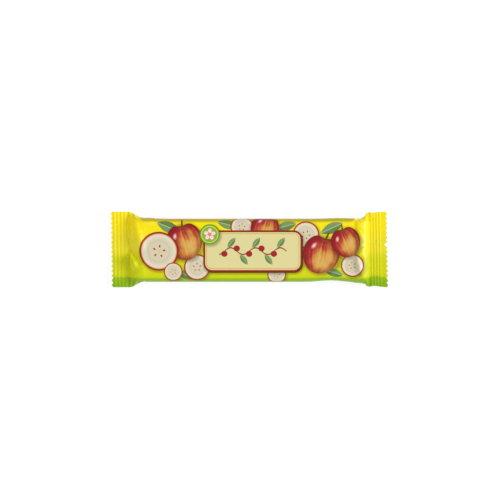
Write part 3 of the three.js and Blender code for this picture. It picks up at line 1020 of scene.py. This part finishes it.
def bopp_film(inks):
    """Printed BOPP film: polypropylene stretched both ways, reverse printed and laminated. The ink lies
    under clear film, so the colours are full, and the surface has an even satin gloss that breaks up on
    the creases."""
    material = bpy.data.materials.new(FILM_MATERIAL)
    material.use_nodes = True
    tree = material.node_tree
    tree.nodes.clear()
    film = add_node(tree, "ShaderNodeUVMap", uv_map=PRINT_MAP).outputs["UV"]
    colour = back_print(tree, front_print(tree, film, inks), film, inks)
    # Laminated film is never quite flat: it waves by a few hundredths of a millimetre every 2 mm or so
    wave_length, wave_height = 2.2 * MM, 0.03 * MM
    place = add_node(tree, "ShaderNodeTexCoord").outputs["Object"]
    waves = add_node(tree, "ShaderNodeTexNoise", {"Vector": place, "Scale": 1 / wave_length, "Detail": 2})
    wavy = add_node(tree, "ShaderNodeBump", {"Height": waves, "Strength": 1.0, "Distance": wave_height})
    shader = add_node(tree, "ShaderNodeBsdfPrincipled", {
        "Base Color": colour, "Roughness": 0.32, "Specular IOR Level": 0.28, "IOR": 1.49, "Normal": wavy})
    add_node(tree, "ShaderNodeOutputMaterial", {"Surface": shader})
    return material


def opal_acrylic(inks):
    """Cast opal acrylic of a light table, lit from below. It glows white, so shadows on it stay faint, and
    its own colour is dull, so it throws little of the lamps' light back on the sides of the pack."""
    glow = 0.85
    material = bpy.data.materials.new("opal_acrylic_table")
    material.use_nodes = True
    tree = material.node_tree
    tree.nodes.clear()
    shader = add_node(tree, "ShaderNodeBsdfPrincipled", {
        "Base Color": tuple(inks.floor), "Roughness": 0.9, "Emission Color": (1, 1, 1, 1),
        "Emission Strength": glow})
    add_node(tree, "ShaderNodeOutputMaterial", {"Surface": shader})
    return material


def ink_colours(context):
    """The print's colours as plain tuples."""
    settings = context.scene.fruit_bar_print
    names = PrintColours.__annotations__
    return namedtuple("Inks", names)(*(tuple(getattr(settings, name)) for name in names))


def film_material(context):
    """The film's material, which both pieces share."""
    return bpy.data.materials.get(FILM_MATERIAL) or bopp_film(ink_colours(context))


# Columns of the film grid round the tube, and across the fin
COLUMNS = 240
FIN_COLUMNS = 15
# Least gaps between the fin and the film above it, and between the fin and the table
FIN_GAP = 0.03 * MM
TABLE_GAP = 0.01 * MM


@functools.lru_cache(maxsize=1)
def settled_moves(*sizes):
    """The settled film for these sizes, kept because two pieces are built from it."""
    return settle_film(FilmTube(bpy.context.scene.fruit_bar_sizes))


def film_grid(film):
    """Rows, columns and points of the film sleeve."""
    rows = film_rows(film)
    columns = np.linspace(-film.half_girth, film.half_girth, COLUMNS + 1)
    points = film.surface(rows[:, None], columns[None, :-1])
    sizes = [getattr(film.sizes, name) for name in FilmSizes.__annotations__]
    points = points + lay_over(*settled_moves(*sizes), film, rows, columns[:-1])
    return rows, columns, film.fold_in(points, columns[:-1])


def fin_face(film, across):
    """Rows of the fin and the points of its upper face, just below the lowest film over its width."""
    rows, columns, points = film_grid(film)
    covered = np.abs(columns[:-1]) > film.half_girth - film.sizes.fin_width / 2 + FIN_MIDDLE_Y
    under = points[:, covered, 2].min(axis=1) - FIN_GAP
    top = np.maximum(under, film.sizes.fin_thickness + TABLE_GAP)
    x, y = np.meshgrid(rows, across, indexing="ij")
    height = np.broadcast_to(top[:, None], x.shape)
    skewed = x - CUT_SKEW * y * film.shoulder_travel(x)
    return rows, film.crimp(film.cut(np.stack([skewed, y, height], axis=-1)))


class FRUITBAR_OT_film_sleeve(bpy.types.Operator):
    """Builds the printed film tube with its crimped and zigzag cut ends."""

    bl_idname = "fruit_bar.film_sleeve"
    bl_label = "Film Sleeve"

    def execute(self, context):
        film = FilmTube(context.scene.fruit_bar_sizes)
        rows, columns, points = film_grid(film)
        points = film.crimp(film.cut(points))
        print_places = np.stack(np.meshgrid(rows, columns, indexing="ij"), axis=-1)
        quarter, half = COLUMNS // 4, COLUMNS // 2
        front = list(range(quarter, 3 * quarter + 1))
        back = [(half - j) % COLUMNS if j <= half else (3 * half - j) % COLUMNS for j in front]
        sleeve = build_tube("film_sleeve", points, print_places, front, back)
        sleeve.data.materials.append(film_material(context))
        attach(sleeve, BODY)
        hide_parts(WRAPPER_NODE)
        return {"FINISHED"}


class FRUITBAR_OT_back_fin(bpy.types.Operator):
    """Builds the lengthwise fin, folded down flat on the back."""

    bl_idname = "fruit_bar.back_fin"
    bl_label = "Back Fin"

    def execute(self, context):
        film = FilmTube(context.scene.fruit_bar_sizes)
        fin_width = film.sizes.fin_width
        across = np.linspace(-fin_width / 2, fin_width / 2, FIN_COLUMNS) + FIN_MIDDLE_Y
        rows, upper = fin_face(film, across)
        lower = upper - (0, 0, film.sizes.fin_thickness)
        ring = np.concatenate([upper, lower[:, ::-1]], axis=1)
        places = np.concatenate([across, across[::-1], across[:1]]) + film.half_girth
        print_places = np.stack(np.meshgrid(rows, places, indexing="ij"), axis=-1)
        front = list(range(FIN_COLUMNS))
        back = [2 * FIN_COLUMNS - 1 - j for j in front]
        fin = build_tube("back_fin", ring, print_places, front, back)
        fin.data.materials.append(film_material(context))
        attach(fin, BODY)
        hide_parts(WRAPPER_NODE)
        return {"FINISHED"}


# Square soft boxes that point at the pack: place and side in metres, power in watts. A polarised one
# gives light but no gloss.
Lamp = namedtuple("Lamp", "name place side watts polarised")
LAMPS = (
    Lamp("key_from_right", (4.0, 0.2, 2.5), 2.2, 182, False),
    Lamp("glint_from_far_right", (0.5, 0.4, 1.2), 0.3, 3.0, False),
    Lamp("fill_from_left", (-1.5, 0.1, 0.75), 0.5, 4.5, True),
    Lamp("fill_from_near", (-0.6, -1.3, 1.2), 1.1, 10, False),
    Lamp("edge_from_far", (-0.4, 1.3, 1.0), 0.4, 1.5, False),
)
ROOM_LIGHT = 0.34
TABLE_HALF = 3.0
# The square picture shows this width of the table, and the camera's axis meets the table at CAMERA_AIM
FRAME_WIDTH = 0.285
CAMERA_AIM = (0.4 * MM, -0.3 * MM)
CAMERA_LENS = 150
SENSOR_WIDTH = 36


class FRUITBAR_OT_studio(bpy.types.Operator):
    """Lays the pack on a white light table, with soft light and a camera straight above it."""

    bl_idname = "fruit_bar.studio"
    bl_label = "Studio"

    def execute(self, context):
        add_floor(context)
        for lamp in LAMPS:
            add_light(context, lamp)
        add_world(context)
        add_camera(context)
        context.scene.view_settings.view_transform = "Standard"
        return {"FINISHED"}


def add_floor(context):
    """The face of the light table."""
    half = TABLE_HALF
    mesh = bpy.data.meshes.new("light_table")
    corners = [(-half, -half, 0), (half, -half, 0), (half, half, 0), (-half, half, 0)]
    mesh.from_pydata(corners, [], [(0, 1, 2, 3)])
    floor = bpy.data.objects.new("light_table", mesh)
    floor.data.materials.append(opal_acrylic(ink_colours(context)))
    context.scene.collection.objects.link(floor)
    floor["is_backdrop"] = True


def add_light(context, lamp):
    """One of the soft boxes."""
    light = bpy.data.lights.new(lamp.name, "AREA")
    light.size = lamp.side
    light.energy = lamp.watts
    box = bpy.data.objects.new(lamp.name, light)
    box.location = lamp.place
    box.visible_glossy = not lamp.polarised
    box.rotation_euler = (-box.location).to_track_quat("-Z", "Y").to_euler()
    context.scene.collection.objects.link(box)


def add_world(context):
    """The even, weak light that the room's white walls throw back."""
    world = bpy.data.worlds.new("studio_room")
    world.use_nodes = True
    world.node_tree.nodes["Background"].inputs["Color"].default_value = (1, 1, 1, 1)
    world.node_tree.nodes["Background"].inputs["Strength"].default_value = ROOM_LIGHT
    context.scene.world = world


def add_camera(context):
    """Long lens straight above the pack."""
    camera = bpy.data.cameras.new("camera")
    camera.lens = CAMERA_LENS
    camera.sensor_width = SENSOR_WIDTH
    eye = bpy.data.objects.new("camera", camera)
    eye.location = (*CAMERA_AIM, FRAME_WIDTH * CAMERA_LENS / SENSOR_WIDTH)
    context.scene.collection.objects.link(eye)
    context.scene.camera = eye


class FRUITBAR_PT_panel(bpy.types.Panel):
    """Lists the pieces of the fruit bar and their settings."""

    bl_idname = "FRUITBAR_PT_panel"
    bl_label = "Fruit Bar"
    bl_space_type = "VIEW_3D"
    bl_region_type = "UI"
    bl_category = "Fruit Bar"

    def draw(self, context):
        layout = self.layout
        for operator in OPERATORS:
            layout.operator(operator.bl_idname)
        for settings in (context.scene.fruit_bar_sizes, context.scene.fruit_bar_print):
            box = layout.box()
            for name in type(settings).__annotations__:
                box.prop(settings, name)


OPERATORS = (FRUITBAR_OT_film_sleeve, FRUITBAR_OT_back_fin, FRUITBAR_OT_studio)
CLASSES = (FilmSizes, PrintColours, *OPERATORS, FRUITBAR_PT_panel)


def register():
    for item in CLASSES:
        bpy.utils.register_class(item)
    bpy.types.Scene.fruit_bar_sizes = bpy.props.PointerProperty(type=FilmSizes)
    bpy.types.Scene.fruit_bar_print = bpy.props.PointerProperty(type=PrintColours)


def unregister():
    del bpy.types.Scene.fruit_bar_print
    del bpy.types.Scene.fruit_bar_sizes
    for item in reversed(CLASSES):
        bpy.utils.unregister_class(item)


def main():
    register()
    bpy.ops.fruit_bar.film_sleeve()
    bpy.ops.fruit_bar.back_fin()
    bpy.ops.fruit_bar.studio()
    boxes = {"cad": CAD_BOX, "visual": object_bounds()}
    plain = {name: [[float(c) for c in corner] for corner in box] for name, box in boxes.items()}


if __name__ == "__main__":
    main()
